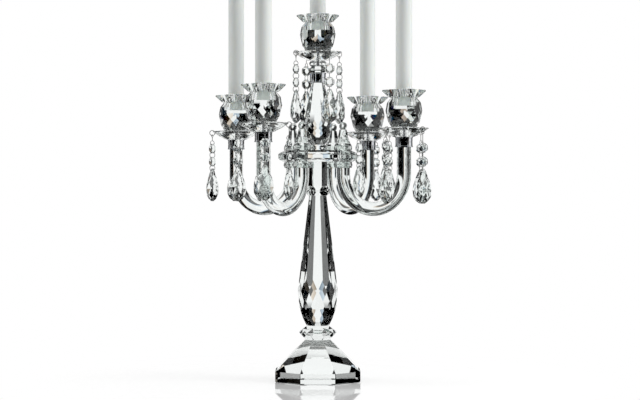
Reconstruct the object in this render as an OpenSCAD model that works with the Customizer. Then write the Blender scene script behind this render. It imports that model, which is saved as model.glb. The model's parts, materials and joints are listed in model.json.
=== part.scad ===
// Five-light cut-crystal candelabra: a faceted stem on an octagonal base, four U-bent arms
// round a hub plate, five drip dishes with candle cups, and four pendant strands to a dish.
// Millimetres, +Z up, origin at the middle of the base's underside. The arms lie along X and Y.

/* [Base and stem] */
// Width of the octagonal base over its flats
base_w = 116; // [100:1:124]
// Height of the base's upright rim
rim_h = 14.2; // [8:1:18]
// Width of the stem at its widest crease, over the flats
stem_w = 54.8; // [46:0.2:60]
// Direction that one flat of every cut piece looks in, counted from the right arm
flat_turn = -58.2; // [-90:0.1:90]

/* [Hub and arms] */
// Diameter of the hub plate over its belt
hub_d = 108; // [104:1:114]
// Distance from the stem's axis to the outer leg of an arm
reach = 135.5; // [132:0.5:140]
// Distance from the stem's axis to the inner leg of an arm
root_r = 40.5; // [39:0.5:42]
// Diameter of an arm's crystal rod
rod_d = 19; // [17:0.2:19.4]
// Height of the centre of an arm's bend
bend_z = 283.5; // [282:0.5:286]

/* [Lights] */
// Diameter of a drip dish
dish_d = 66.6; // [66:0.1:67.2]
// Diameter of a candle
candle_d = 22; // [20:0.1:22.2]
// Length of a candle
candle_l = 250; // [150:5:300]
// Depth of a candle socket, from the crown's top
socket_depth = 23; // [18:0.5:26]

/* [Pendant strands] */
// Width of an octagon bead over its corners
bead_w = 14.4; // [13.6:0.1:14.6]
// Length of an almond drop
drop_l = 46; // [40:0.5:46]
// Width of an almond drop
drop_w = 24.2; // [20:0.1:24.6]
// Thickness of the wire links
wire_d = 0.9; // [0.7:0.05:1]

/* [Hidden] */
ARMS = ["right", "rear", "left", "front"];
LIGHTS = ["top", "right", "rear", "left", "front"];

$fn = 64;
crystal = [0.86, 0.92, 0.93];
chrome = [0.62, 0.63, 0.65];
steel = [0.45, 0.45, 0.47];
wax = [0.95, 0.94, 0.90];
cotton = [0.90, 0.88, 0.80];

gap = 0.1;              // joint line between bonded pieces, and between a rod and its bore
stem_foot_z = 76;
stem_head_z = 254;
plate_z = 300;
plate_h = 15.6;
baluster_z = 324;
baluster_top_z = 408.6;
top_dish_z = 439.4;
arm_dish_z = 332.5;
dish_h = 13.4;          // from a dish's foot to its plateau, on which the cup stands
rim_top = 12;           // height of a dish's rim above its foot
cup_neck_z = 39;        // all heights in a cup are above its foot
cup_top_z = 50;
socket_r = 11.3;
ferrule_r = 12;
ferrule_h = 13.5;
stud_r = 3;
stud_l = 22;

// Direction of the first strand of each light, in the order of LIGHTS, and the strand that
// hangs above its own arm's bend and so has shorter links, or 0 where none does
strand_turn = [59.8, -13.2, 8.8, 37.8, 36.8];
short_strand = [0, 3, 4, 0, 0];

// How much higher each light stands than the others of its tier, on a longer outer leg, and
// how much longer the top link of its strands is
light_rise = [0, 0, 0, 0, 5.5];
strand_fall = [0, 2.4, 0, 0, 3.2];

// How far each light's four strands are twisted about their own vertical axis
strand_twist = [[0, 0, 0, -28], [-45, 20, 0, 0], [-16, -22, 15, -30], [-25, 20, 34, 0],
                [-20, 10, 25, 0]];

// ---- corner points of cut crystal ----

// A ring of corners; turn is the direction of the first corner, flat squeezes the ring along Y
function corner_ring(sides, r, z, turn = 0, flat = 1) =
    [for (k = [0 : sides - 1])
        let (angle = turn + k * 360 / sides)
        [r * cos(angle), flat * r * sin(angle), z]];

// A ring given by the distance to its flats; turn is the direction of the first flat
function flat_ring(sides, apothem, z, turn) =
    corner_ring(sides, apothem / cos(180 / sides), z, turn + 180 / sides);

// The same ring with each corner cut back along both of its sides
function clipped_ring(sides, apothem, z, turn, cut) =
    [for (k = [0 : sides - 1]) for (way = [-1, 1])
        let (angle = turn + k * 360 / sides,
             half = way * (apothem * tan(180 / sides) - cut))
        [apothem * cos(angle) - half * sin(angle), apothem * sin(angle) + half * cos(angle), z]];

// How far a flat lozenge from tip height low to tip height high cuts a crease's corners back
function lozenge_cut(profile, crease, low, high, sides) =
    let (share = (crease[0] - low) / (high - low),
         inner = lookup(low, profile) * (1 - share) + lookup(high, profile) * share)
    (crease[1] - inner) / cos(180 / sides) / sin(180 / sides);

// Corners of a bulb with the profile's [height, apothem] creases, where every inner crease
// has its corners cut off as lozenges that reach from one tip height to the next
function lozenge_bulb(profile, tips, sides, turn) = concat(
    flat_ring(sides, profile[0][1], profile[0][0], turn),
    flat_ring(sides, profile[len(profile) - 1][1], profile[len(profile) - 1][0], turn),
    [for (z = tips) each flat_ring(sides, lookup(z, profile), z, turn)],
    [for (i = [1 : len(profile) - 2])
        each clipped_ring(sides, profile[i][1], profile[i][0], turn,
            lozenge_cut(profile, profile[i], tips[i - 1], tips[i], sides))]);

// Corners of a gem whose rings of [height, radius] are turned half a side from one to the next
function staggered_gem(rings, sides, turn, flat = 1) =
    [for (i = [0 : len(rings) - 1])
        each corner_ring(sides, rings[i][1], rings[i][0], turn + (i % 2) * 180 / sides, flat)];

// A convex crystal from its corner points
module cut_crystal(points) {
    hull() {
        polyhedron(points, [for (i = [0 : len(points) - 3]) [i, i + 1, i + 2]]);
    }
}

// A many-sided turned shape, hollow curves included, from its rings of [height, apothem]
module ring_loft(rings, sides, turn) {
    last = len(rings) - 1;
    points = [for (ring = rings) each flat_ring(sides, ring[1], ring[0], turn)];
    walls = [for (i = [0 : last - 1]) for (k = [0 : sides - 1])
        let (next = (k + 1) % sides)
        [i * sides + k, (i + 1) * sides + k, (i + 1) * sides + next, i * sides + next]];
    floor_face = [for (k = [0 : sides - 1]) k];
    roof_face = [for (k = [sides - 1 : -1 : 0]) last * sides + k];
    polyhedron(points, concat([floor_face, roof_face], walls));
}

// ---- centre column ----

module base_block() {
    half = base_w / 2;
    bevel = 1;
    color(crystal)
        cut_crystal(concat(
            flat_ring(8, half - bevel, 0, flat_turn),
            flat_ring(8, half, bevel, flat_turn),
            flat_ring(8, half, rim_h, flat_turn),
            flat_ring(8, 17.7, 56, flat_turn)));
}

module base_collar() {
    profile = [[56 + gap, 15.5], [66.8, 25.6], [stem_foot_z - gap, 15]];
    color(crystal)
        cut_crystal(lozenge_bulb(profile, [61, 71.5], 8, flat_turn));
}

// The stem's long flats run down to the widest crease; three rows of lozenges finish the bulb
module stem() {
    half = stem_w / 2;
    profile = [[stem_foot_z, 15.4], [86, half * 0.745], [101, half * 0.915],
               [123, half], [stem_head_z, 11.8]];
    color(crystal)
        cut_crystal(lozenge_bulb(profile, [79.5, 92.5, 110, 136], 12, flat_turn));
}

module waist_disc() {
    rings = [[stem_head_z + gap, 13.4], [260.5, 17.8], [267 - gap, 14.4]];
    color(crystal)
        cut_crystal(staggered_gem(rings, 16, flat_turn));
}

module hub_column() {
    color(crystal)
        translate([0, 0, 267])
            rotate([0, 0, flat_turn + 22.5])
                cylinder(r = 13 / cos(22.5), h = plate_z - 267 - gap, $fn = 8);
}

module hub_plate() {
    sides = 24;
    half = hub_d / 2;
    mid = half - 1.8;
    outer = half - 7.5;
    stagger = flat_turn + 180 / sides;
    bore_d = rod_d + 2 * gap;
    color(crystal)
        difference() {
            translate([0, 0, plate_z])
                cut_crystal(concat(
                    flat_ring(sides, outer, 0, flat_turn),
                    flat_ring(sides, mid, 2.8, stagger),
                    flat_ring(sides, half, 4.8, flat_turn),
                    flat_ring(sides, half, plate_h - 4.8, flat_turn),
                    flat_ring(sides, mid, plate_h - 2.8, stagger),
                    flat_ring(sides, outer, plate_h, flat_turn)));
            for (k = [0 : 3])
                rotate([0, 0, 90 * k])
                    translate([root_r, 0, plate_z - 1])
                        cylinder(d = bore_d, h = plate_h + 2);
        }
}

module hub_seat() {
    foot_z = plate_z + plate_h + gap;
    rings = [[foot_z, 9.6], [320, 12], [baluster_z - gap, 10]];
    color(crystal)
        cut_crystal(staggered_gem(rings, 12, flat_turn));
}

module upper_baluster() {
    profile = [[baluster_z, 9.6], [331, 14.6], [339, 18], [349, 19.6], [baluster_top_z, 9.2]];
    color(crystal)
        cut_crystal(lozenge_bulb(profile, [327.5, 335, 344, 356], 12, flat_turn));
}

// A plain turned ferrule with a proud ring at each end and a groove at half height
module ferrule_body(r, h) {
    ring_h = 1.6;
    step = 0.5;
    groove = 0.4;
    rotate_extrude()
        polygon([[0, 0], [r, 0], [r, ring_h], [r - step, ring_h],
                 [r - step, h / 2 - groove], [r - 2 * step, h / 2], [r - step, h / 2 + groove],
                 [r - step, h - ring_h], [r, h - ring_h], [r, h], [0, h]]);
}

module top_ferrule() {
    color(chrome)
        translate([0, 0, baluster_top_z + gap])
            ferrule_body(11.6, 14);
}

module top_rondelle() {
    foot_z = 422.9;
    color(crystal)
        difference() {
            ring_loft([[foot_z, 9], [425.5, 11.2], [429, 10.4], [431, 8.6], [433, 11],
                       [436, 12], [top_dish_z - gap, 9.4]], 8, flat_turn);
            translate([0, 0, top_dish_z - stud_l / 4])
                cylinder(r = stud_r + gap, h = stud_l);
        }
}

// ---- arms ----

// A solid rod bent to a U, from inside the bell cap down, round and up into the ferrule
module arm(k) {
    bend_r = (reach - root_r) / 2;
    color(crystal)
        rotate([0, 0, 90 * k])
            union() {
                translate([(reach + root_r) / 2, 0, bend_z])
                    rotate([-90, 0, 0])
                        rotate_extrude(angle = 180)
                            translate([bend_r, 0])
                                circle(d = rod_d);
                translate([root_r, 0, bend_z])
                    cylinder(d = rod_d, h = 322.3 - bend_z);
                translate([reach, 0, bend_z])
                    cylinder(d = rod_d, h = arm_dish_z + light_rise[k + 1] - 2.6 - bend_z);
            }
}

// Places its children on all four arms, raised with their lights or not
module at_arms(radius, raised = false) {
    for (k = [0 : 3])
        rotate([0, 0, 90 * k])
            translate([radius, 0, raised ? light_rise[k + 1] : 0])
                children();
}

module arm_ferrules() {
    foot_z = arm_dish_z - gap - ferrule_h;
    color(chrome)
        at_arms(reach, true)
            difference() {
                translate([0, 0, foot_z])
                    ferrule_body(ferrule_r, ferrule_h);
                translate([0, 0, foot_z - 1])
                    cylinder(d = rod_d + 2 * gap, h = ferrule_h - 1.4);
                translate([0, 0, foot_z])
                    cylinder(r = stud_r + gap, h = ferrule_h + 1);
            }
}

module arm_root_collars() {
    color(crystal)
        at_arms(root_r)
            difference() {
                cut_crystal(staggered_gem(
                    [[292, 11.6], [295.8, 13.4], [plate_z - gap, 12]], 12, 0));
                translate([0, 0, 291])
                    cylinder(d = rod_d + 2 * gap, h = 10);
            }
}

// Twelve-sided bells over the plate, each with a proud foot, closed above the end of its rod
module arm_bell_caps() {
    foot_z = plate_z + plate_h + gap;
    rings = [[foot_z, 11.6], [318, 12.4], [321, 12.2], [325, 10], [333.4, 6.9], [344, 4.8]];
    color(crystal)
        at_arms(root_r)
            difference() {
                ring_loft(rings, 12, 0);
                translate([0, 0, foot_z - 1])
                    cylinder(d = rod_d + 2 * gap, h = 7.7);
            }
}

module bell_beads() {
    rings = [[344.1, 3.2], [346.2, 4.9], [349.2, 5.6], [352.2, 4.6], [354.2, 2.2]];
    color(crystal)
        at_arms(root_r)
            cut_crystal(staggered_gem(rings, 8, 0));
}

// ---- lights ----

// Stands its children on the foot of one light's dish; light 0 is the top one
module at_light(light) {
    if (light == 0)
        translate([0, 0, top_dish_z])
            children();
    else
        rotate([0, 0, 90 * (light - 1)])
            translate([reach, 0, arm_dish_z + light_rise[light]])
                rotate([0, 0, -90 * (light - 1)])
                    children();
}

// A thin-edged dish with a faceted underside; four holes near the rim take the strands
module dish(light) {
    rim_r = dish_d / 2;
    edge = 0.8;
    hole_inset = 2.1;
    hole_r = 1.6;
    color(crystal)
        at_light(light)
            difference() {
                cut_crystal(concat(
                    corner_ring(16, 13.8, 0, flat_turn),
                    corner_ring(16, 24.6, 5.2, flat_turn + 11.25),
                    corner_ring(32, rim_r, rim_top - edge, flat_turn),
                    corner_ring(32, rim_r, rim_top, flat_turn),
                    corner_ring(16, 20, dish_h, flat_turn)));
                for (k = [0 : 3])
                    rotate([0, 0, strand_turn[light] + 90 * k])
                        translate([rim_r - hole_inset, 0, -1])
                            cylinder(r = hole_r, h = dish_h + 2);
                translate([0, 0, -1])
                    cylinder(r = stud_r + gap, h = dish_h + 2);
            }
}

// One petal of a cup's crown, with its tip towards +X
module petal() {
    inner = [for (side = [-1, 1]) [14.2 * cos(27), side * 14.2 * sin(27), cup_top_z]];
    shoulder = [for (side = [-1, 1]) [21 * cos(17), side * 21 * sin(17), cup_top_z]];
    tip = [for (side = [-1, 1]) [28.6, side * 1.3, cup_top_z - 0.6]];
    point = [[29.4, 0, cup_top_z - 2]];
    root = [for (side = [-1, 1]) [15 * cos(27), side * 15 * sin(27), cup_neck_z - 1]];
    belly = [[20.5, 0, cup_neck_z + 0.6]];
    cut_crystal(concat(inner, shoulder, tip, point, root, belly));
}

// A ball with twelve flutes over a row of lozenges, bored for the candle, under six petals
module cup(light) {
    sides = 12;
    half_side = 180 / sides;
    low_tip = [6.3, 20.9];
    high_tip = [21.5, 24.6];
    side_z = 13.7;
    side_share = (side_z - low_tip[0]) / (high_tip[0] - low_tip[0]);
    side_r = (low_tip[1] + (high_tip[1] - low_tip[1]) * side_share) / cos(half_side);
    color(crystal)
        at_light(light)
            translate([0, 0, dish_h + gap])
                difference() {
                    union() {
                        cut_crystal(concat(
                            corner_ring(sides, 16.8, 0, flat_turn),
                            corner_ring(sides, low_tip[1], low_tip[0], flat_turn),
                            corner_ring(sides, side_r, side_z, flat_turn + half_side),
                            corner_ring(sides, high_tip[1], high_tip[0], flat_turn),
                            corner_ring(sides, 22.6, 32.5, flat_turn),
                            corner_ring(sides, 17.2, cup_neck_z, flat_turn)));
                        translate([0, 0, cup_neck_z - 1])
                            rotate([0, 0, flat_turn])
                                cylinder(r = 15.4, h = cup_top_z - cup_neck_z + 0.4, $fn = 12);
                        for (k = [0 : 5])
                            rotate([0, 0, flat_turn + 30 + 60 * k])
                                petal();
                    }
                    translate([0, 0, cup_top_z - socket_depth])
                        cylinder(r = socket_r, h = socket_depth + 1);
                    translate([0, 0, -1])
                        cylinder(r = stud_r + gap, h = 9.2);
                }
}

module socket_studs() {
    color(steel)
        for (light = [0 : 4])
            at_light(light)
                translate([0, 0, gap - stud_l / 4 + (light == 0 ? 0 : 3)])
                    cylinder(r = stud_r, h = light == 0 ? stud_l + 5 : stud_l + 2);
}

module candle(light) {
    r = candle_d / 2;
    seat_z = dish_h + gap + cup_top_z - socket_depth + 0.3;
    color(wax)
        at_light(light)
            translate([0, 0, seat_z])
                difference() {
                    rotate_extrude()
                        polygon(concat(
                            [[0, 0], [r - 0.6, 0], [r, 0.6], [r, candle_l - 6]],
                            [for (a = [15 : 15 : 75]) [r - 5 + 5 * cos(a), candle_l - 6 + 5 * sin(a)]],
                            [[r - 5, candle_l - 1], [0, candle_l]]));
                    translate([0, 0, candle_l - 12])
                        cylinder(r = 1, h = 20);
                }
}

module wick(light) {
    seat_z = dish_h + gap + cup_top_z - socket_depth + 0.3;
    color(cotton)
        at_light(light)
            translate([0, 0, seat_z + candle_l - 11.9])
                cylinder(r = 0.9, h = 22);
}

// ---- pendant strands ----

// A closed wire ring; its plane is upright and holds the strand's outward direction
module wire_ring(r, z) {
    translate([0, 0, z])
        rotate([90, 0, 0])
            rotate_extrude()
                translate([r, 0])
                    circle(d = wire_d, $fn = 24);
}

// A flat octagon bead with a table on each face and a hole near its upper and lower corner
module octagon_bead(z) {
    rings = [[-3, 4.1], [-0.9, bead_w / 2], [0.9, bead_w / 2], [3, 4.1]];
    points = [for (i = [0 : 3])
        each corner_ring(8, rings[i][1], rings[i][0], i == 0 || i == 3 ? 0 : 22.5)];
    translate([0, 0, z])
        difference() {
            rotate([0, 90, 0])
                cut_crystal(points);
            for (side = [-1, 1])
                translate([-5, 0, side * 5.1])
                    rotate([0, 90, 0])
                        cylinder(r = 1.1, h = 10, $fn = 24);
        }
}

// An almond drop with a net of lozenges, hung by a hole near its pointed head; each share is
// [height, half width] as a part of the drop's length and half width
module almond_drop(hole_z) {
    flat = 0.56;
    hole_depth = 3.3;
    shares = [[0, 0.2], [0.075, 0.62], [0.2, 0.9], [0.38, 1], [0.56, 0.87], [0.74, 0.63],
              [0.9, 0.38], [1, 0.21]];
    rings = [for (share = shares) [share[0] * drop_l, share[1] * drop_w / 2]];
    translate([0, 0, hole_z + hole_depth - drop_l])
        difference() {
            rotate([0, 0, 90])
                cut_crystal(staggered_gem(rings, 8, 90, flat));
            translate([-10, 0, drop_l - hole_depth])
                rotate([0, 90, 0])
                    cylinder(r = 1.6, h = 20, $fn = 24);
        }
}

// A twisted link: a small eye hooks the ring above, a larger eye holds the first bead
module eye_link(top_z, low_z) {
    small = 1.7;
    large = 3.2;
    union() {
        rotate([0, 0, 90])
            wire_ring(small, top_z - small);
        translate([0, 0, low_z + 2 * large])
            cylinder(d = wire_d, h = top_z - 2 * small - low_z - 2 * large, $fn = 24);
        wire_ring(large, low_z + large);
    }
}

// A whole strand; the origin is the middle of the rim ring, on which the strand swings. All
// that hangs on that ring is twisted about the upright axis
module strand(link_r, lift, twist) {
    rim_ring_r = 3.6;
    hook = wire_d + 0.12;
    slack = 0.35;
    drop_slack = 0.6;
    hole = 5.1;
    bead_1_z = -22.2 + lift;
    link_1_z = bead_1_z - hole + slack - link_r;
    bead_2_z = link_1_z - link_r + slack - hole;
    link_2_z = bead_2_z - hole + slack - link_r;
    wire_ring(rim_ring_r, 0);
    rotate([0, 0, twist]) {
        eye_link(-rim_ring_r + hook, bead_1_z + hole - slack);
        octagon_bead(bead_1_z);
        wire_ring(link_r, link_1_z);
        octagon_bead(bead_2_z);
        wire_ring(link_r, link_2_z);
        almond_drop(link_2_z - link_r + drop_slack);
    }
}

module pendant(light, k) {
    short = short_strand[light] == k;
    color(crystal)
        at_light(light)
            rotate([0, 0, strand_turn[light] + 90 * (k - 1)])
                translate([dish_d / 2 + 0.45, 0, rim_top - 2.35])
                    strand(short ? 3.7 : 4.4, short ? 1.8 : -strand_fall[light],
                        strand_twist[light][k - 1]);
}

base_block();
base_collar();
stem();
waist_disc();
hub_column();
hub_plate();
hub_seat();
upper_baluster();
top_ferrule();
top_rondelle();
arm_ferrules();
arm_root_collars();
arm_bell_caps();
bell_beads();
socket_studs();
for (k = [0 : 3]) {
    arm(k);
}
for (light = [0 : 4]) {
    dish(light);
    cup(light);
    candle(light);
    wick(light);
    for (k = [1 : 4]) {
        pendant(light, k);
    }
}
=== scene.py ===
"""Looks of the five-light crystal candelabra: cut crystal, bent rods, ferrules, candles and strands."""

import json
import math

import bpy
import numpy as np
from bpy.props import FloatProperty, FloatVectorProperty, PointerProperty
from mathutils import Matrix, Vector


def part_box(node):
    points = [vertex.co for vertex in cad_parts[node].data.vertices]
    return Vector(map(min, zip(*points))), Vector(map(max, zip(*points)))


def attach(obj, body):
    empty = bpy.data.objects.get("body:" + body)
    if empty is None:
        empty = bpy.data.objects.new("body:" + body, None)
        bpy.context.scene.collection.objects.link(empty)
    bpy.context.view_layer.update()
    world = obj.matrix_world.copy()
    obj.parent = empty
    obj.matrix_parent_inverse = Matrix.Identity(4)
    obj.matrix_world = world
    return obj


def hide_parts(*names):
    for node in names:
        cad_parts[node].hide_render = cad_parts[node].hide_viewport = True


bl_info = {
    "name": "Crystal candelabra",
    "version": (1, 0, 0),
    "blender": (4, 5, 0),
    "location": "View3D > Sidebar > Candelabra",
    "description": "Cut crystal, chrome, wax and wire for the five-light candelabra",
    "category": "Object",
}

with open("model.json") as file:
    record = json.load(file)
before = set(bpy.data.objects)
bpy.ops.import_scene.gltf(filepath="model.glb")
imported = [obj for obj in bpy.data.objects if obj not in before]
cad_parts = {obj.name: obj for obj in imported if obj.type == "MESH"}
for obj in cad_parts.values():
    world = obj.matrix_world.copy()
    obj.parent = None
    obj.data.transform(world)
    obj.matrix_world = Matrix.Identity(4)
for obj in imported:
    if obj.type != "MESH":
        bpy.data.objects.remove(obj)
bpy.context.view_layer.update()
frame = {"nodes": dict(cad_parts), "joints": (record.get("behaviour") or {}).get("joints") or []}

MM = 0.001
ARMS = ("right", "rear", "left", "front")
LIGHTS = ("top",) + ARMS
# Clearance between pieces that fit into or against one another
GAP = 0.1 * MM


def width_of(node_name):
    """A node's width along X, in metres."""
    low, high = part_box(node_name)
    return high.x - low.x


# ---- colours and nodes ----

def to_linear(code):
    """An sRGB hex code as linear RGBA: x / 12.92 near black, else ((x + 0.055) / 1.055) ** 2.4."""
    parts = np.array([int(code[i:i + 2], 16) / 255 for i in (1, 3, 5)])
    linear = np.where(parts <= 0.04045, parts / 12.92, ((parts + 0.055) / 1.055) ** 2.4)
    return (*map(float, linear), 1.0)


def add(tree, kind, inputs=None, **settings):
    """Adds one shader node; an input takes a value, or a socket to link from."""
    made = tree.nodes.new("ShaderNode" + kind)
    for key, value in settings.items():
        setattr(made, key, value)
    for key, value in (inputs or {}).items():
        if isinstance(value, bpy.types.NodeSocket):
            tree.links.new(value, made.inputs[key])
        else:
            made.inputs[key].default_value = value
    return made


def new_material(name):
    """An empty material and its node tree."""
    material = bpy.data.materials.new(name)
    material.use_nodes = True
    material.node_tree.nodes.clear()
    return material, material.node_tree


def colour(code, name, description):
    """A colour property whose default is an sRGB hex code."""
    return FloatVectorProperty(name=name, description=description, subtype="COLOR", size=4,
                               min=0, max=1, default=to_linear(code))


# ---- settings ----

class CandelabraSizes(bpy.types.PropertyGroup):
    """Sizes that the dressed pieces share with the frame."""
    rod: FloatProperty(name="Rod", description="Diameter of an arm's crystal rod",
                       default=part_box("arm_right")[1].y * 2, unit="LENGTH")
    candle: FloatProperty(name="Candle", description="Diameter of a candle",
                          default=width_of("candle_top"), unit="LENGTH")
    wick: FloatProperty(name="Wick", description="Diameter of a candle's wick",
                        default=width_of("wick_top"), unit="LENGTH")
    ferrule: FloatProperty(name="Top ferrule", description="Diameter of the ferrule under the top light",
                           default=width_of("top_ferrule"), unit="LENGTH")
    arm_ferrule: FloatProperty(name="Arm ferrules", description="Diameter of a ferrule under an arm's light",
                               default=24 * MM, unit="LENGTH")
    stud: FloatProperty(name="Stud", description="Diameter of the threaded stud under each light",
                        default=6 * MM, unit="LENGTH")
    bead: FloatProperty(name="Bead", description="Width of an octagon bead over its corners",
                        default=14.4 * MM, unit="LENGTH")
    drop_length: FloatProperty(name="Drop length", description="Length of an almond drop",
                               default=46 * MM, unit="LENGTH")
    drop_width: FloatProperty(name="Drop width", description="Width of an almond drop",
                              default=24.2 * MM, unit="LENGTH")
    wire: FloatProperty(name="Wire", description="Thickness of the wire links",
                        default=0.9 * MM, unit="LENGTH")


class CandelabraColours(bpy.types.PropertyGroup):
    """Colours of the finishes."""
    crystal: colour("#FAFCFB", "Crystal", "Tint of the clear lead crystal")
    chrome: colour("#D9DBDE", "Chrome", "Mirror chrome of the ferrules")
    steel: colour("#A3A3A6", "Steel", "Zinc-plated steel of the hidden studs")
    silver: colour("#E3E2DF", "Wire", "Silver-plated wire of the links")
    wax: colour("#F2F6F4", "Wax", "Bleached wax of the candles")
    cotton: colour("#EDE6D3", "Wick", "Waxed cotton of the wicks")


class CandelabraStudio(bpy.types.PropertyGroup):
    """Camera, floor and the wall of card round the object."""
    camera_azimuth: FloatProperty(name="Camera azimuth", description="Where the camera stands round the stem",
                                  default=math.radians(31.8), subtype="ANGLE")
    camera_distance: FloatProperty(name="Camera distance", description="From the stem's axis to the lens",
                                   default=2.6, unit="LENGTH")
    camera_height: FloatProperty(name="Camera height", description="Of the lens above the floor",
                                 default=0.2606, unit="LENGTH")
    lens: FloatProperty(name="Lens", description="Focal length in millimetres", default=106.4, unit="CAMERA")
    shift_across: FloatProperty(name="Shift across", description="Of the lens, in widths of the picture",
                                default=0.0034375)
    shift_up: FloatProperty(name="Shift up", description="Of the lens, in widths of the picture",
                            default=-0.014375)
    wall: FloatProperty(name="Wall", description="From the stem's axis to the wall of card",
                        default=1.17, unit="LENGTH")
    floor_gloss: FloatProperty(name="Gloss floor", description="Radius within which the floor mirrors",
                               default=0.24, unit="LENGTH")
    floor_white: FloatProperty(name="White floor", description="Radius past which the floor is plain white",
                               default=0.42, unit="LENGTH")


# ---- shapes ----

def grid_faces(rows, columns, close_rows=False):
    """Quads of a grid whose columns wrap round; the rows wrap too where close_rows is set."""
    last = rows if close_rows else rows - 1
    row, column = np.meshgrid(np.arange(last), np.arange(columns), indexing="ij")
    above, beside = (row + 1) % rows, (column + 1) % columns
    corners = (row * columns + column, row * columns + beside,
               above * columns + beside, above * columns + column)
    return np.stack(corners, -1).reshape(-1, 4).tolist()


def ring_shape(rings, close_rows=False):
    """A skin over rings of points; the first and last ring are closed by a flat face each."""
    rows, columns = rings.shape[:2]
    faces = grid_faces(rows, columns, close_rows)
    if not close_rows:
        faces.append(list(range(columns))[::-1])
        faces.append(list(range((rows - 1) * columns, rows * columns)))
    return rings.reshape(-1, 3), faces


def around(sides):
    """The angles of one full turn, a side apart."""
    return np.linspace(0, 2 * np.pi, sides, endpoint=False)


def about_z(radius, height, turn):
    """Rings of points about Z: x = r cos t, y = r sin t, z = h."""
    return np.stack([radius * np.cos(turn), radius * np.sin(turn), height + 0 * turn], -1)


def lathe(profile, sides=96, close_rows=False):
    """A profile of (radius, height) turned about Z."""
    profile = np.asarray(profile, float)
    return ring_shape(about_z(profile[:, :1], profile[:, 1:], around(sides)), close_rows)


def tube(path, normals, binormals, radius, sides, close_rows=False):
    """A circle carried along a path: path + radius (cos t normal + sin t binormal)."""
    turn = around(sides)[None, :, None]
    rings = path[:, None] + radius * (np.cos(turn) * normals[:, None] + np.sin(turn) * binormals[:, None])
    return ring_shape(rings, close_rows)


def joined(parts):
    """Several shapes as one list of points and one of faces."""
    points, faces, start = [], [], 0
    for part_points, part_faces in parts:
        points.append(part_points)
        faces.extend([[i + start for i in face] for face in part_faces])
        start += len(part_points)
    return np.concatenate(points), faces


def moved(shape, x=0.0, y=0.0, z=0.0):
    """A shape shifted along the axes."""
    return shape[0] + np.array([x, y, z]), shape[1]


def turned(shape, angle):
    """A shape turned about Z by an angle in radians."""
    c, s = math.cos(angle), math.sin(angle)
    return shape[0] @ np.array([[c, s, 0], [-s, c, 0], [0, 0, 1]]), shape[1]


def hung(shape, origin, outward):
    """A strand's shape, drawn with +X outwards and its hinge at the origin, put at its hinge."""
    return moved(turned(shape, math.atan2(outward[1], outward[0])), *origin)


def gem(rings, sides, flat=1.0):
    """Rings of (height, radius), each turned half a side from the last, joined by triangles."""
    rings = np.asarray(rings, float)
    step = 2 * np.pi / sides
    angle = np.arange(sides) * step + (np.arange(len(rings)) % 2)[:, None] * step / 2
    radius = rings[:, 1:]
    points = np.stack([radius * np.cos(angle), flat * radius * np.sin(angle), rings[:, :1] + 0 * angle], -1)
    rows = np.arange(len(rings) * sides).reshape(-1, sides)
    ahead = np.roll(rows, -1, axis=1)
    faces = [rows[0][::-1].tolist(), rows[-1].tolist()]
    for i in range(len(rings) - 1):
        low, low_next, high, high_next = rows[i], ahead[i], rows[i + 1], ahead[i + 1]
        if i % 2 == 0:
            pair = (low, low_next, high), (high, low_next, high_next)
        else:
            pair = (low, high_next, high), (low, low_next, high_next)
        for triangle in pair:
            faces += np.stack(triangle, -1).tolist()
    return points.reshape(-1, 3), faces


def turned_outwards(shape):
    """The same shape wound so that its volume, the sum of a . (b x c) over its triangles, is positive."""
    points, faces = shape
    fans = np.array([(face[0], face[i], face[i + 1]) for face in faces for i in range(1, len(face) - 1)])
    a, b, c = np.moveaxis(points[fans], 1, 0)
    volume = np.sum(a * np.cross(b, c))
    return (points, faces) if volume > 0 else (points, [face[::-1] for face in faces])


def make_mesh(name, shape, smooth=None):
    """A mesh of the shape; smooth is the angle in degrees past which an edge stays sharp."""
    points, faces = turned_outwards(shape)
    mesh = bpy.data.meshes.new(name)
    mesh.from_pydata(points.tolist(), [], faces)
    mesh.update()
    if smooth is not None:
        mesh.shade_smooth()
        mesh.set_sharp_from_angle(angle=math.radians(smooth))
    return mesh


def put(name, shape, material, body, stands_for=(), smooth=None):
    """Links a shape as a piece that rides on a body and stands for CAD nodes."""
    piece = bpy.data.objects.new(name, make_mesh(name, shape, smooth))
    bpy.context.scene.collection.objects.link(piece)
    piece.data.materials.append(material)
    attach(piece, body)
    if stands_for:
        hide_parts(*stands_for)
    return piece


def drilled(shape, holes):
    """The shape with round holes cut through along X; a hole is (y, z, radius)."""
    half_drill = 20 * MM
    body = bpy.data.objects.new("blank", make_mesh("blank", shape))
    bits = []
    for y, z, radius in holes:
        drill_points, drill_faces = lathe([(radius, -half_drill), (radius, half_drill)], sides=24)
        bits.append((drill_points[:, [2, 0, 1]] + np.array([0, y, z]), drill_faces))
    cutter = bpy.data.objects.new("drill", make_mesh("drill", joined(bits)))
    for thing in (body, cutter):
        bpy.context.scene.collection.objects.link(thing)
    cut = body.modifiers.new("holes", "BOOLEAN")
    cut.operation, cut.solver, cut.object = "DIFFERENCE", "EXACT", cutter
    done = body.evaluated_get(bpy.context.evaluated_depsgraph_get()).data
    points = np.empty(len(done.vertices) * 3)
    done.vertices.foreach_get("co", points)
    result = (points.reshape(-1, 3), [list(face.vertices) for face in done.polygons])
    for thing in (body, cutter):
        bpy.data.objects.remove(thing)
    return result


# ---- finishes ----

# The colour sockets of a Mix node: its factor, its two colours and its result
FACTOR, FIRST, SECOND, RESULT = 0, 6, 7, 2
# Linear levels of the stage's card, floor and light
WHITE = (1.0, 1.0, 1.0, 1.0)
PALE_GREY = (0.95, 0.95, 0.95, 1.0)


def finish_of(name):
    """A colour from the settings."""
    return tuple(getattr(bpy.context.scene.candelabra_colours, name))


def shade(tint, *factors):
    """A tint with each channel scaled."""
    return tuple(c * f for c, f in zip(tint, factors)) + (1.0,)


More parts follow.
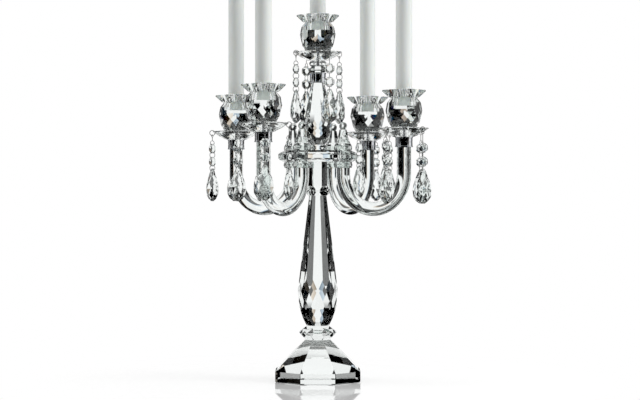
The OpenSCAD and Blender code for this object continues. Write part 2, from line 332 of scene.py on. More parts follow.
def cut_crystal_material(name, wave, depth):
    """Lead crystal, cut or drawn, then polished: clear, with waves some thousandths of a millimetre deep."""
    material, tree = new_material(name)
    place = add(tree, "TexCoord").outputs["Object"]
    waves = add(tree, "TexNoise", {"Vector": place, "Scale": 1 / wave, "Detail": 1.0, "Roughness": 0.4})
    bump = add(tree, "Bump", {"Height": waves.outputs["Fac"], "Strength": 1.0, "Distance": depth})
    # striae of slightly denser glass, 30 mm apart
    striae = add(tree, "TexNoise", {"Vector": place, "Scale": 1 / (30 * MM), "Detail": 2.0})
    tint = finish_of("crystal")
    dense = shade(tint, 0.97, 0.99, 0.985)
    mix = add(tree, "Mix", {FACTOR: striae.outputs["Fac"], FIRST: tint, SECOND: dense}, data_type="RGBA")
    shader = add(tree, "BsdfPrincipled", {
        "Base Color": mix.outputs[RESULT], "Roughness": 0.0, "IOR": 1.53, "Transmission Weight": 1.0,
        "Normal": bump.outputs["Normal"]})
    add(tree, "OutputMaterial", {"Surface": shader.outputs["BSDF"]})
    return material


def plated_metal_material(name, tint, roughness, pitch, depth):
    """Metal turned, rolled or drawn, then plated: a mirror finish over faint waves, one every pitch."""
    material, tree = new_material(name)
    place = add(tree, "TexCoord").outputs["Object"]
    # real tool marks are too fine to show, so they are drawn millimetres apart; a wave repeats
    # every 2 pi / (20 scale)
    marks = add(tree, "TexWave", {"Vector": place, "Scale": 2 * math.pi / (20 * pitch), "Distortion": 0.4},
                wave_type="BANDS", bands_direction="Z")
    bump = add(tree, "Bump", {"Height": marks.outputs["Fac"], "Strength": 1.0, "Distance": depth})
    # patches of duller plating, 6 mm across
    dull = add(tree, "TexNoise", {"Vector": place, "Scale": 1 / (6 * MM), "Detail": 3.0})
    spread = add(tree, "MapRange", {"Value": dull.outputs["Fac"], "To Min": roughness * 0.6,
                                    "To Max": roughness * 1.5})
    mix = add(tree, "Mix", {FACTOR: dull.outputs["Fac"], FIRST: tint, SECOND: shade(tint, 0.93, 0.93, 0.94)},
              data_type="RGBA")
    shader = add(tree, "BsdfPrincipled", {
        "Base Color": mix.outputs[RESULT], "Metallic": 1.0, "Roughness": spread.outputs["Result"],
        "Normal": bump.outputs["Normal"]})
    add(tree, "OutputMaterial", {"Surface": shader.outputs["BSDF"]})
    return material


def wax_material():
    """Bleached paraffin wax, drawn: soft, slightly translucent, faintly streaked lengthwise."""
    material, tree = new_material("Paraffin wax, drawn and bleached")
    place = add(tree, "TexCoord").outputs["Object"]
    long_way = add(tree, "Mapping", {"Vector": place, "Scale": (1, 1, 0.06)}).outputs["Vector"]
    # streaks 4 mm apart, each some 65 mm long
    streaks = add(tree, "TexNoise", {"Vector": long_way, "Scale": 1 / (4 * MM), "Detail": 3.0})
    # a bloom of tiny crystals on the skin, drawn at 1.5 mm so that it shows
    bloom = add(tree, "TexNoise", {"Vector": place, "Scale": 1 / (1.5 * MM), "Detail": 2.0})
    bump = add(tree, "Bump", {"Height": streaks.outputs["Fac"], "Strength": 0.6, "Distance": 0.3 * MM})
    bump = add(tree, "Bump", {"Height": bloom.outputs["Fac"], "Strength": 0.3, "Distance": 0.1 * MM,
                              "Normal": bump.outputs["Normal"]})
    tint = finish_of("wax")
    mix = add(tree, "Mix", {FACTOR: streaks.outputs["Fac"], FIRST: tint,
                            SECOND: shade(tint, 0.95, 0.955, 0.94)}, data_type="RGBA")
    dull = add(tree, "MapRange", {"Value": bloom.outputs["Fac"], "To Min": 0.34, "To Max": 0.5})
    shader = add(tree, "BsdfPrincipled", {
        "Base Color": mix.outputs[RESULT], "Roughness": dull.outputs["Result"], "IOR": 1.44,
        "Subsurface Weight": 0.35, "Subsurface Radius": (1.0, 0.9, 0.75), "Subsurface Scale": 3 * MM,
        "Normal": bump.outputs["Normal"]})
    add(tree, "OutputMaterial", {"Surface": shader.outputs["BSDF"]})
    return material


def cotton_material():
    """Cotton yarn, plaited and dipped in wax: off-white and matt, mottled by its fibres."""
    material, tree = new_material("Cotton, plaited and waxed")
    place = add(tree, "TexCoord").outputs["Object"]
    # fibres, drawn 0.3 mm apart so that they show
    fibres = add(tree, "TexNoise", {"Vector": place, "Scale": 1 / (0.3 * MM), "Detail": 2.0})
    bump = add(tree, "Bump", {"Height": fibres.outputs["Fac"], "Strength": 0.5, "Distance": 0.1 * MM})
    tint = finish_of("cotton")
    mix = add(tree, "Mix", {FACTOR: fibres.outputs["Fac"], FIRST: tint, SECOND: shade(tint, 0.8, 0.77, 0.7)},
              data_type="RGBA")
    shader = add(tree, "BsdfPrincipled", {
        "Base Color": mix.outputs[RESULT], "Roughness": 0.8, "Normal": bump.outputs["Normal"]})
    add(tree, "OutputMaterial", {"Surface": shader.outputs["BSDF"]})
    return material


def floor_material(settings):
    """White gloss acrylic sheet: mirrors the object near it, and is plain white farther out."""
    material, tree = new_material("Cast acrylic sheet, white gloss")
    place = add(tree, "TexCoord").outputs["Object"]
    away = add(tree, "VectorMath", {0: place}, operation="LENGTH").outputs["Value"]
    plain = add(tree, "MapRange", {"Value": away, "From Min": settings.floor_gloss,
                                   "From Max": settings.floor_white},
                interpolation_type="SMOOTHSTEP").outputs["Result"]
    path = add(tree, "LightPath").outputs
    seen = path["Is Camera Ray"]
    for ray in ("Is Glossy Ray", "Is Transmission Ray"):
        seen = add(tree, "Math", {0: seen, 1: path[ray]}, operation="MAXIMUM").outputs[0]
    plain = add(tree, "Math", {0: seen, 1: plain}, operation="MULTIPLY").outputs[0]
    # the polish varies in patches 50 mm across
    patches = add(tree, "TexNoise", {"Vector": place, "Scale": 1 / (50 * MM), "Detail": 1.0}).outputs["Fac"]
    dull = add(tree, "MapRange", {"Value": patches, "To Min": 0.02, "To Max": 0.06}).outputs["Result"]
    sheet = add(tree, "BsdfPrincipled", {"Base Color": WHITE, "IOR": 1.49, "Roughness": dull})
    paper = add(tree, "Emission", {"Color": WHITE, "Strength": 1.0})
    shown = add(tree, "MixShader", {0: plain, 1: sheet.outputs["BSDF"], 2: paper.outputs["Emission"]})
    # painted reflection: a mirror on the outside of a piece shows the floor as plain black, as if black cloth
    # lay there
    outside = add(tree, "Math", {0: path["Transmission Depth"], 1: 0.5}, operation="LESS_THAN").outputs[0]
    mirrored = add(tree, "Math", {0: path["Is Glossy Ray"], 1: outside}, operation="MULTIPLY").outputs[0]
    painted_black_reflection = add(tree, "Emission", {"Color": to_linear("#000000")})
    shown = add(tree, "MixShader", {0: mirrored, 1: shown.outputs["Shader"], 2: painted_black_reflection.outputs["Emission"]})
    add(tree, "OutputMaterial", {"Surface": shown.outputs["Shader"]})
    return material


# ---- stage ----

# Brightness of the wall of card: degrees from straight behind the object, minus to the camera's right,
# then the level. White panels stand at both sides, and a thin white line farther round on each.
CARD_RIGHT = ((-180, 0), (-172, 0.9), (-170.5, 0.9), (-170, 0), (-129, 0), (-127, 1), (-106, 1), (-104, 0),
              (-80, 0), (-78, 1), (-54, 1), (-51, 0))
CARD_LEFT = ((51, 0), (54, 1), (127, 1), (129, 0), (146, 0), (146.5, 0.9), (148, 0.9), (148.5, 0), (180, 0))
# Low down, the white strip straight behind has grey margins; higher up it stands on black felt
CARD_LOW = CARD_RIGHT + ((-27, 0), (-22, 0.18), (-8, 0.18), (-6.5, 1), (6.5, 1), (8, 0.18), (22, 0.18),
                         (27, 0)) + CARD_LEFT
CARD_HIGH = CARD_RIGHT + ((-9, 0), (-7.5, 1), (7.5, 1), (9, 0)) + CARD_LEFT
# What a mirror on the outside of a piece shows: narrower white panels, and black round the camera
CARD_MIRROR = ((-180, 0), (-115, 0), (-112, 1), (-74, 1), (-70, 0), (-50, 0), (-46, 0.2), (-20, 0.2),
               (-14, 1), (14, 1), (20, 0.2), (54, 0.2), (58, 0), (71, 0), (73, 1), (81, 1), (83, 0),
               (110, 0), (111, 1), (113, 1), (114, 0), (180, 0))
# How far the red and blue of the card's edges lie from the green, in degrees
CARD_SPLIT = 0.2

# Heights on the wall, in metres, where each change starts and ends
LOW_ENDS = (0.09, 0.1)
BAND_STARTS, BAND_ENDS = (0.16, 0.18), (0.25, 0.27)
FOOT_ENDS = (0.2, 0.28)
WALL_ENDS = (0.78, 0.86)
# The white foot's sides, as cosines of the angle from straight behind
FOOT_SIDES = (0.4, 0.6)
# The wall's lower and upper end, in metres, its rings of points and how many stand in each
WALL_LOW, WALL_HIGH, WALL_RINGS, WALL_SIDES = -0.6, 1.6, 5, 90
# The floor's rings of points by radius, in metres, and how many stand in each
FLOOR_RINGS, FLOOR_SIDES = (0.002, 0.1, 0.2, 0.35, 0.5, 0.7), 96
# Air stays under the base, so that its underside mirrors from within
FLOOR_DROP = 0.3 * MM

# Light of the world by the rise of a ray: where a change starts and ends, and its two levels
OVERHEAD_LAMP = (0.84, 0.88, 0.0, 1.0)
WHITE_BELOW = (-0.3, -0.2, 1.0, 0.0)
SOFT_SKY = (0.35, 0.6, 0.2, 0.95)

# Each lamp's place round the stem, in degrees from the camera, and its power in watts
LAMPS = {"key": (73, 28), "fill": (-100, 14)}
# Degrees above the table, metres from the object, the lamp's side, and the height that it looks at
LAMP_ELEVATION, LAMP_DISTANCE, LAMP_SIZE, LAMP_AIM = 15, 2.2, 1.2, 0.35

# How often a ray may bend or bounce in crystal, and how many clear surfaces it may pass
CRYSTAL_BOUNCES, CLEAR_BOUNCES = 28, 16


def card_levels(tree, azimuth, card):
    """The card's brightness by azimuth, one ramp a channel, so that its edges split into warm and cold."""
    channels = []
    for shift in (CARD_SPLIT, 0.0, -CARD_SPLIT):
        share = add(tree, "Math", {0: azimuth, 1: 1 / (2 * math.pi), 2: 0.5 + shift / 360},
                    operation="MULTIPLY_ADD")
        ramp = add(tree, "ValToRGB", {0: share.outputs[0]})
        stops = ramp.color_ramp.elements
        for angle, level in card[1:-1]:
            stops.new((angle + 180) / 360).color = (level, level, level, 1)
        for stop, (_, level) in ((stops[0], card[0]), (stops[-1], card[-1])):
            stop.color = (level, level, level, 1)
        channels.append(ramp.outputs["Color"])
    return add(tree, "CombineColor", dict(zip(("Red", "Green", "Blue"), channels))).outputs[0]


def wall_material(settings):
    """Matt card on black felt, all round: a white strip behind, tall white panels at both sides."""
    material, tree = new_material("Matt card and black felt, lit evenly")
    place = add(tree, "TexCoord").outputs["Object"]
    height = add(tree, "SeparateXYZ", {0: place}).outputs["Z"]
    behind = settings.camera_azimuth + math.pi / 2
    back, side = (math.cos(behind), math.sin(behind), 0), (-math.sin(behind), math.cos(behind), 0)
    along, across = (add(tree, "VectorMath", {0: place, 1: way}, operation="DOT_PRODUCT").outputs["Value"]
                     for way in (back, side))
    azimuth = add(tree, "Math", {0: across, 1: along}, operation="ARCTAN2").outputs[0]
    low, high, mirror = (card_levels(tree, azimuth, card) for card in (CARD_LOW, CARD_HIGH, CARD_MIRROR))
    past_low, past_start, past_end, past_foot, past_wall = (
        add(tree, "MapRange", {"Value": height, "From Min": start, "From Max": end}).outputs["Result"]
        for start, end in (LOW_ENDS, BAND_STARTS, BAND_ENDS, FOOT_ENDS, WALL_ENDS))
    band = add(tree, "Math", {0: past_start, 1: past_end}, operation="SUBTRACT").outputs[0]
    # the floor mirrors the wall's foot, which is white within some 60 degrees of straight behind
    start, end = (settings.wall * cosine for cosine in FOOT_SIDES)
    ahead = add(tree, "MapRange", {"Value": along, "From Min": start, "From Max": end}).outputs["Result"]
    under, lit = (add(tree, "Math", {0: 1.0, 1: past}, operation="SUBTRACT").outputs[0]
                  for past in (past_foot, past_wall))
    foot = add(tree, "Math", {0: ahead, 1: under}, operation="MULTIPLY").outputs[0]
    path = add(tree, "LightPath").outputs
    outside = add(tree, "Math", {0: path["Transmission Depth"], 1: 0.5}, operation="LESS_THAN").outputs[0]
    # wax and floor, which scatter light, see plain grey card through the crystal
    dull = add(tree, "Math", {0: path["Diffuse Depth"], 1: 0.5}, operation="GREATER_THAN").outputs[0]
    mirror = add(tree, "Mix", {FACTOR: foot, FIRST: mirror, SECOND: WHITE}, data_type="RGBA").outputs[RESULT]
    # from the floor up: the strip with its margins, the strip on black, and a white band all round
    shown = low
    for share, card in ((past_low, high), (band, WHITE), (outside, mirror), (dull, PALE_GREY)):
        shown = add(tree, "Mix", {FACTOR: share, FIRST: shown, SECOND: card},
                    data_type="RGBA").outputs[RESULT]
    strength = add(tree, "Math", {0: lit, 1: dull}, operation="MAXIMUM").outputs[0]
    light = add(tree, "Emission", {"Color": shown, "Strength": strength})
    add(tree, "OutputMaterial", {"Surface": light.outputs["Emission"]})
    material.cycles.emission_sampling = "NONE"
    return material


def studio_world():
    """White to the camera and a soft sky to wax and floor; crystal sees a lamp above and white below."""
    world = bpy.data.worlds.new("Studio")
    bpy.context.scene.world = world
    world.use_nodes = True
    tree = world.node_tree
    tree.nodes.clear()
    rise = add(tree, "SeparateXYZ", {0: add(tree, "TexCoord").outputs["Generated"]}).outputs["Z"]
    overhead, below, sky = (
        add(tree, "MapRange", {"Value": rise, "From Min": start, "From Max": end, "To Min": low,
                               "To Max": high}).outputs["Result"]
        for start, end, low, high in (OVERHEAD_LAMP, WHITE_BELOW, SOFT_SKY))
    sharp = add(tree, "Math", {0: overhead, 1: below}, operation="MAXIMUM").outputs[0]
    path = add(tree, "LightPath").outputs
    specular = add(tree, "Math", {0: path["Is Glossy Ray"], 1: path["Is Transmission Ray"]},
                   operation="MAXIMUM").outputs[0]
    clear = add(tree, "Math", {0: path["Diffuse Depth"], 1: 0.5}, operation="LESS_THAN").outputs[0]
    specular = add(tree, "Math", {0: specular, 1: clear}, operation="MULTIPLY").outputs[0]
    shown = sky
    for share, light in ((specular, sharp), (path["Is Camera Ray"], WHITE)):
        shown = add(tree, "Mix", {FACTOR: share, FIRST: shown, SECOND: light},
                    data_type="RGBA").outputs[RESULT]
    background = add(tree, "Background", {"Color": shown, "Strength": 1.0})
    add(tree, "OutputWorld", {"Surface": background.outputs["Background"]})


def soft_lamp(name, azimuth, power):
    """A square lamp that looks at the middle of the object; only wax, cotton and floor see it."""
    data = bpy.data.lights.new(name, "AREA")
    data.shape, data.size, data.energy = "SQUARE", LAMP_SIZE, power
    lamp = bpy.data.objects.new(name, data)
    turn, rise = math.radians(azimuth), math.radians(LAMP_ELEVATION)
    back = np.array([math.sin(turn) * math.cos(rise), -math.cos(turn) * math.cos(rise), math.sin(rise)])
    lamp.location = back * LAMP_DISTANCE + np.array([0, 0, LAMP_AIM])
    lamp.rotation_euler = (math.pi / 2 - rise, 0, turn)
    lamp.visible_glossy = lamp.visible_transmission = lamp.visible_camera = False
    bpy.context.scene.collection.objects.link(lamp)


def round_stage(name, radii, heights, sides, material, middle=()):
    """A floor or wall of quads between rings about Z, with any faces that close its middle."""
    radius, height = (np.asarray(values, float)[:, None] for values in (radii, heights))
    points = about_z(radius, height, around(sides)).reshape(-1, 3)
    mesh = bpy.data.meshes.new(name)
    mesh.from_pydata(points.tolist(), [], grid_faces(len(radii), sides) + list(middle))
    mesh.materials.append(material)
    made = bpy.data.objects.new(name, mesh)
    bpy.context.scene.collection.objects.link(made)
    return made


class CANDELABRA_OT_studio(bpy.types.Operator):
    """Lay the white gloss floor, set the lamps and the wall of card, and stand the camera"""
    bl_idname = "candelabra.studio"
    bl_label = "Studio"

    def execute(self, context):
        settings = context.scene.candelabra_studio
        cycles = context.scene.cycles
        cycles.max_bounces = cycles.transmission_bounces = CRYSTAL_BOUNCES
        cycles.transparent_max_bounces = CLEAR_BOUNCES
        context.scene.view_settings.view_transform = "Standard"
        floor = round_stage("floor", FLOOR_RINGS, np.zeros(len(FLOOR_RINGS)), FLOOR_SIDES,
                            floor_material(settings), middle=[list(range(FLOOR_SIDES))])
        floor.location.z = -FLOOR_DROP
        wall = round_stage("wall", np.full(WALL_RINGS, settings.wall),
                           np.linspace(WALL_LOW, WALL_HIGH, WALL_RINGS), WALL_SIDES, wall_material(settings))
        wall.visible_camera = wall.visible_diffuse = wall.visible_shadow = False
        studio_world()
        for name, (from_camera, power) in LAMPS.items():
            soft_lamp(name, math.degrees(settings.camera_azimuth) + from_camera, power)
        turn, reach = settings.camera_azimuth, settings.camera_distance
        camera = bpy.data.objects.new("camera", bpy.data.cameras.new("camera"))
        camera.location = (reach * math.sin(turn), -reach * math.cos(turn), settings.camera_height)
        camera.rotation_euler = (math.pi / 2, 0, turn)
        camera.data.lens = settings.lens
        camera.data.shift_x, camera.data.shift_y = settings.shift_across, settings.shift_up
        context.scene.collection.objects.link(camera)
        context.scene.camera = camera
        return {"FINISHED"}


# ---- pieces ----

def candle_axis(light):
    """Where a light's axis stands."""
    low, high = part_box(f"candle_{light}")
    return (low.x + high.x) / 2, (low.y + high.y) / 2


class CANDELABRA_OT_cut_crystal(bpy.types.Operator):
    """Give every cut piece of the stem, hub, dishes and cups its crystal"""
    bl_idname = "candelabra.cut_crystal"
    bl_label = "Cut crystal"

    def execute(self, context):
        names = ["base_block", "base_collar", "stem", "waist_disc", "hub_column", "hub_plate", "hub_seat",
                 "upper_baluster", "top_rondelle", "arm_root_collars", "arm_bell_caps", "bell_beads"]
        names += [f"{part}_{light}" for part in ("dish", "cup") for light in LIGHTS]
        material = cut_crystal_material("Lead crystal, hand-cut and polished", wave=14 * MM, depth=0.004 * MM)
        for name in names:
            frame["nodes"][name].material_slots[0].material = material
        return {"FINISHED"}


class CANDELABRA_OT_crystal_rods(bpy.types.Operator):
    """Bend the four crystal rods of the arms"""
    bl_idname = "candelabra.crystal_rods"
    bl_label = "Crystal rods"

    def execute(self, context):
        material = cut_crystal_material("Crystal rod, drawn and fire-polished", wave=30 * MM,
                                        depth=0.006 * MM)
        radius = context.scene.candelabra_sizes.rod / 2
        low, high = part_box("arm_right")
        root, reach = low.x + radius, high.x - radius
        bend = (reach - root) / 2
        centre_z = low.z + radius + bend
        inside_cap = 6.6 * MM
        inner_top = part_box("arm_bell_caps")[0].z + inside_cap
        # down the inner leg, round the half circle and up the outer leg
        leg = np.linspace(0, 1, 12)[:-1]
        swing = np.linspace(np.pi, 2 * np.pi, 97)
        x = np.concatenate([root + 0 * leg, (root + reach) / 2 + bend * np.cos(swing), reach + 0 * leg])
        out = np.concatenate([np.full(len(leg), np.pi), swing, np.full(len(leg), 2 * np.pi)])
        normals = np.stack([np.cos(out), 0 * out, np.sin(out)], -1)
        binormals = np.tile([0.0, 1.0, 0.0], (len(x), 1))
        for k, arm in enumerate(ARMS):
            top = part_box(f"arm_{arm}")[1].z
            z = np.concatenate([inner_top + (centre_z - inner_top) * leg, centre_z + bend * np.sin(swing),
                                top + (centre_z - top) * leg[::-1]])
            rod = tube(np.stack([x, 0 * x, z], -1), normals, binormals, radius, sides=64)
            put(f"rod_{arm}", turned(rod, k * math.pi / 2), material, "root",
                (f"arm_{arm}",), smooth=40)
        return {"FINISHED"}


class CANDELABRA_OT_ferrules(bpy.types.Operator):
    """Turn the chrome ferrules under the five lights"""
    bl_idname = "candelabra.ferrules"
    bl_label = "Chrome ferrules"

    def execute(self, context):
        material = plated_metal_material("Brass, turned and chrome-plated", finish_of("chrome"),
                                         roughness=0.035, pitch=3.8 * MM, depth=0.001 * MM)
        sizes = context.scene.candelabra_sizes

        def outside(radius, height, foot):
            """The ferrule's wall: a proud ring at each end, rounded over, and a groove at half height."""
            step, ring, groove, round_over = 0.5 * MM, 1.6 * MM, 0.4 * MM, 0.2 * MM
            half = height / 2
            wall = [(radius - round_over, 0), (radius, round_over), (radius, ring - round_over),
                    (radius - round_over, ring), (radius - step, ring + round_over),
                    (radius - step, half - groove), (radius - 2 * step, half - groove / 4)]
            wall += [(r, height - z) for r, z in wall[::-1]]
            return [(r, z + foot) for r, z in wall]

        low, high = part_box("top_ferrule")
        put("ferrule_top", lathe(outside(sizes.ferrule / 2, high.z - low.z, low.z)), material, "root",
            ("top_ferrule",), smooth=35)
        radius, height, lid = sizes.arm_ferrule / 2, 13.5 * MM, 2.4 * MM
        bore, eye = sizes.rod / 2 + GAP, sizes.stud / 2 + GAP
        profile = outside(radius, height, 0)
        profile += [(eye, height), (eye, height - lid), (bore, height - lid), (bore, 0)]
        ferrule = lathe(profile, close_rows=True)
        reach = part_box("arm_ferrules")[1].x - radius
        four = []
        for k, arm in enumerate(ARMS):
            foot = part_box(f"dish_{arm}")[0].z - GAP - height
            four.append(turned(moved(ferrule, x=reach, z=foot), k * math.pi / 2))
        put("ferrules_arms", joined(four), material, "root", ("arm_ferrules",), smooth=35)
        return {"FINISHED"}


class CANDELABRA_OT_studs(bpy.types.Operator):
    """Roll the threaded studs that hold the lights"""
    bl_idname = "candelabra.studs"
    bl_label = "Threaded studs"

    def execute(self, context):
        material = plated_metal_material("Steel, rolled thread, zinc-plated", finish_of("steel"),
                                         roughness=0.25, pitch=3.1 * MM, depth=0.004 * MM)
        radius = context.scene.candelabra_sizes.stud / 2
        pitch, depth, sides, steps = 1.0 * MM, 0.55 * MM, 24, 6

        def stud(foot, length):
            """Radius falls from the crest by a triangle wave of height / pitch - turn."""
            z = np.linspace(0, length, int(length / pitch * steps))[:, None]
            turn = around(sides)
            wave = np.abs((z / pitch - turn / (2 * np.pi)) % 1 * 2 - 1)
            return ring_shape(about_z(radius - depth * wave, z + foot, turn))

        studs = []
        for light in LIGHTS:
            # how far it reaches below its dish, and its length
            below, length = (5.4 * MM, 27 * MM) if light == "top" else (2.4 * MM, 24 * MM)
            studs.append(moved(stud(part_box(f"dish_{light}")[0].z - below, length), *candle_axis(light)))
        put("studs", joined(studs), material, "root", ("socket_studs",), smooth=50)
        return {"FINISHED"}


def candle_shape(radius, foot, head):
    """A rounded foot, a straight wall, a shoulder d + (R - d) cos t wide, and a bore for the wick."""
    edge, shoulder, dimple, bore, bore_depth = 0.6 * MM, 6 * MM, 1.6 * MM, 1.0 * MM, 12 * MM
    profile = [(radius - edge, foot), (radius - 0.3 * edge, foot + 0.3 * edge), (radius, foot + edge)]
    profile += [(radius, z) for z in np.linspace(foot + 5 * MM, head - shoulder - 2 * MM, 12)]
    profile += [(dimple + (radius - dimple) * math.cos(t), head - shoulder + shoulder * math.sin(t))
                for t in np.linspace(0, np.pi / 2, 14)]
    profile += [(1.1 * bore, head - 0.5 * MM), (bore, head - 1.2 * MM), (bore, head - bore_depth)]
    return lathe(profile)


def wick_shape(radius, foot, head):
    """A plait of three yarns, drawn as a twist: the radius follows the nearest of three lobes."""
    # height in which the twist turns by a radian, and the height of the worn tip
    twist, tip = 2.4 * MM, 1.2 * MM
    z = np.linspace(foot, head, 90)[:, None]
    turn = around(24)
    lobe = np.abs(np.cos(1.5 * (turn + (z - foot) / twist)))
    taper = np.clip((head - z) / tip, 0.35, 1)
    return ring_shape(about_z(radius * (0.7 + 0.3 * lobe) * taper, z, turn))


class CANDELABRA_OT_candles(bpy.types.Operator):
    """Draw the five candles and plait their wicks"""
    bl_idname = "candelabra.candles"
    bl_label = "Candles and wicks"

    def execute(self, context):
        wax, cotton = wax_material(), cotton_material()
        sizes = context.scene.candelabra_sizes
        for light in LIGHTS:
            low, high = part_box(f"candle_{light}")
            candle = moved(candle_shape(sizes.candle / 2, low.z, high.z), *candle_axis(light))
            put(f"wax_{light}", candle, wax, f"candle_{light}", (f"candle_{light}",), smooth=35)
            low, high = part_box(f"wick_{light}")
            wick = moved(wick_shape(sizes.wick / 2, low.z, high.z), *candle_axis(light))
            put(f"plait_{light}", wick, cotton, f"candle_{light}", (f"wick_{light}",), smooth=60)
        return {"FINISHED"}


# How far each strand is twisted about its own upright axis below its rim ring, in degrees
TWISTS = {"top": (0, 0, 0, -28), "right": (-45, 20, 0, 0), "rear": (-16, -22, 15, -30),
          "left": (-25, 20, 34, 0), "front": (-20, 10, 25, 0)}
# Strands shorter than this, in millimetres, have shorter links between beads and drop
SHORT_STRAND = 98


class CANDELABRA_OT_strands(bpy.types.Operator):
    """String the twenty pendants: two octagon beads and an almond drop on wire links"""
    bl_idname = "candelabra.strands"
    bl_label = "Pendant strands"

    def execute(self, context):
        crystal = cut_crystal_material("Lead crystal, pressed and cut", wave=6 * MM, depth=0.002 * MM)
        silver = plated_metal_material("Wire, drawn and silver-plated", finish_of("silver"),
                                       roughness=0.12, pitch=2.5 * MM, depth=0.001 * MM)
        sizes = context.scene.candelabra_sizes
        hinges = {joint["child"]: joint for joint in frame["joints"] if joint["type"] == "hinge"}
        patterns = {}
        for body, hinge in hinges.items():
            low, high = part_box(body)
            axis = hinge["axis"]
            outward = (-axis[1], axis[0])
            height = round((high.z - low.z) / MM, 1)
            if height not in patterns:
                patterns[height] = strand_shapes(sizes, height)
            _, light, k = body.split("_")
            twist = math.radians(TWISTS[light][int(k) - 1])
            gems, rim_ring, links = patterns[height]
            wires = joined([rim_ring, turned(links, twist)])
            put(body.replace("pendant", "gems"), hung(turned(gems, twist), hinge["pos_m"], outward), crystal,
                body, (body,))
            put(body.replace("pendant", "links"), hung(wires, hinge["pos_m"], outward), silver,
                body, smooth=60)
        return {"FINISHED"}


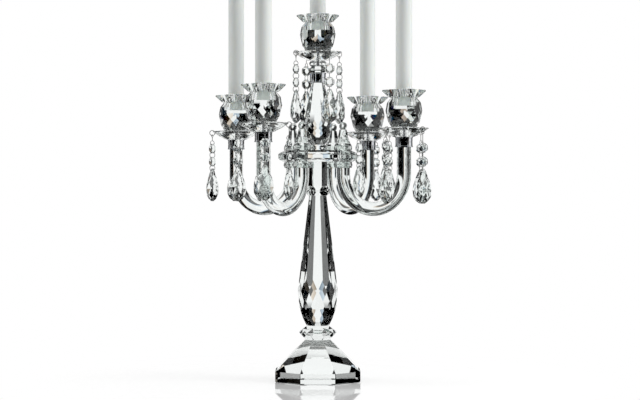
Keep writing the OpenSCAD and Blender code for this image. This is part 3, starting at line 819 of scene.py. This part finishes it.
def strand_shapes(sizes, height):
    """A strand, +X outwards, hinge at the origin, height in millimetres: gems, rim ring and other links."""
    wire = sizes.wire
    # radii to the middle of the wire: the ring through the dish's rim, then the top link's two eyes
    rim, small, large = 3.6 * MM, 1.7 * MM, 3.2 * MM
    link = (3.7 if height < SHORT_STRAND else 4.4) * MM
    # a bead's two holes by their distance from its middle, and the drop's by its depth below the tip
    hole, bead_bore, drop_depth, drop_bore = 5.1 * MM, 1.1 * MM, 3.3 * MM, 1.6 * MM
    # a link's wire stands this far past the middle of a hole, so that its bend clears the hole's ends
    slack, drop_slack = 0.35 * MM, 0.6 * MM
    # the top link takes up what the rest of the strand leaves of its height
    below = 3 * hole - 3 * slack + 4 * link - drop_slack + sizes.drop_length - drop_depth
    bead_1 = rim + wire / 2 - height * MM + below
    link_1 = bead_1 - hole + slack - link
    bead_2 = link_1 - link + slack - hole
    link_2 = bead_2 - hole + slack - link
    drop_hole = link_2 - link + drop_slack

    def ring(radius, z, across=False):
        """A closed wire ring, upright; across turns it to face outwards."""
        turn = around(40)[:, None]
        side, up = np.array([0.0, 1.0, 0.0] if across else [1.0, 0.0, 0.0]), np.array([0.0, 0.0, 1.0])
        normals = np.cos(turn) * side + np.sin(turn) * up
        binormals = np.tile(np.cross(side, up), (len(turn), 1))
        return tube(radius * normals + z * up, normals, binormals, wire / 2, sides=12, close_rows=True)

    def bead(z):
        """A flat octagon bead: on each face a table in a row of facets, the girdle turned half a side."""
        sides, half, table, thick, girdle = 8, sizes.bead / 2, 4.1 * MM, 3 * MM, 0.9 * MM
        rings = np.array([(-thick, table), (-girdle, half), (girdle, half), (thick, table)])
        depth, radius = rings[:, :1], rings[:, 1:]
        step = 2 * np.pi / sides
        turn = np.arange(sides) * step + np.array([0, step / 2, step / 2, 0])[:, None]
        points = np.stack([depth + 0 * turn, radius * np.cos(turn), radius * np.sin(turn)], -1)
        rows = np.arange(4 * sides).reshape(4, sides)
        ahead = np.roll(rows, -1, axis=1)
        faces = [rows[0].tolist(), rows[3][::-1].tolist()]
        for corners in ((rows[0], rows[1], ahead[0]), (ahead[0], rows[1], ahead[1]),
                        (rows[1], rows[2], ahead[2], ahead[1]),
                        (rows[3], ahead[3], rows[2]), (ahead[3], ahead[2], rows[2])):
            faces += np.stack(corners, -1).tolist()
        holes = [(0, z_hole, bead_bore) for z_hole in (-hole, hole)]
        return moved(drilled((points.reshape(-1, 3), faces), holes), z=z)

    def drop():
        """An almond drop: staggered rings of eight corners, squeezed along its thickness."""
        half, length = sizes.drop_width / 2, sizes.drop_length
        # share of the length from the lower end, and share of the half width
        rings = [(0, 0.2), (0.075, 0.62), (0.2, 0.9), (0.38, 1), (0.56, 0.87), (0.74, 0.63), (0.9, 0.38),
                 (1, 0.21)]
        points, faces = gem([(z * length, r * half) for z, r in rings], sides=8, flat=0.56)
        # a quarter turn puts the thin way along X, in which the hole is drilled
        points = points @ np.array([[0.0, 1.0, 0.0], [-1.0, 0.0, 0.0], [0.0, 0.0, 1.0]])
        shape = drilled((points, faces), [(0, length - drop_depth, drop_bore)])
        return moved(shape, z=drop_hole + drop_depth - length)

    # the top link: a small eye that clears the rim ring, a shank and a large eye through the first bead
    rim_play = 0.12 * MM
    hook = -rim + wire + rim_play
    eye_low = bead_1 + hole - slack
    shank = lathe([(wire / 2, eye_low + 2 * large), (wire / 2, hook - 2 * small)], sides=12)
    links = joined([ring(small, hook - small, across=True), ring(large, eye_low + large), shank,
                    ring(link, link_1), ring(link, link_2)])
    return joined([bead(bead_1), bead(bead_2), drop()]), ring(rim, 0), links


# ---- the panel and the run ----

class CANDELABRA_PT_panel(bpy.types.Panel):
    """Sizes, colours and steps of the candelabra"""
    bl_idname = "CANDELABRA_PT_panel"
    bl_label = "Crystal candelabra"
    bl_space_type = "VIEW_3D"
    bl_region_type = "UI"
    bl_category = "Candelabra"

    def draw(self, context):
        layout = self.layout
        for group in (context.scene.candelabra_sizes, context.scene.candelabra_colours,
                      context.scene.candelabra_studio):
            box = layout.box()
            for name in group.bl_rna.properties.keys():
                if name not in ("rna_type", "name"):
                    box.prop(group, name)
        for step in STEPS:
            layout.operator(step.bl_idname)


STEPS = (CANDELABRA_OT_studio, CANDELABRA_OT_cut_crystal, CANDELABRA_OT_crystal_rods, CANDELABRA_OT_ferrules,
         CANDELABRA_OT_studs, CANDELABRA_OT_candles, CANDELABRA_OT_strands)
CLASSES = (CandelabraSizes, CandelabraColours, CandelabraStudio, CANDELABRA_PT_panel) + STEPS


def register():
    """Registers the classes and hangs the settings on the scene."""
    for cls in CLASSES:
        bpy.utils.register_class(cls)
    bpy.types.Scene.candelabra_sizes = PointerProperty(type=CandelabraSizes)
    bpy.types.Scene.candelabra_colours = PointerProperty(type=CandelabraColours)
    bpy.types.Scene.candelabra_studio = PointerProperty(type=CandelabraStudio)


def unregister():
    """Takes the settings and the classes away again."""
    del bpy.types.Scene.candelabra_sizes
    del bpy.types.Scene.candelabra_colours
    del bpy.types.Scene.candelabra_studio
    for cls in reversed(CLASSES):
        bpy.utils.unregister_class(cls)


def main():
    """Registers the add-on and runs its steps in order."""
    register()
    bpy.ops.candelabra.studio()
    bpy.ops.candelabra.cut_crystal()
    bpy.ops.candelabra.crystal_rods()
    bpy.ops.candelabra.ferrules()
    bpy.ops.candelabra.studs()
    bpy.ops.candelabra.candles()
    bpy.ops.candelabra.strands()


if __name__ == "__main__":
    main()
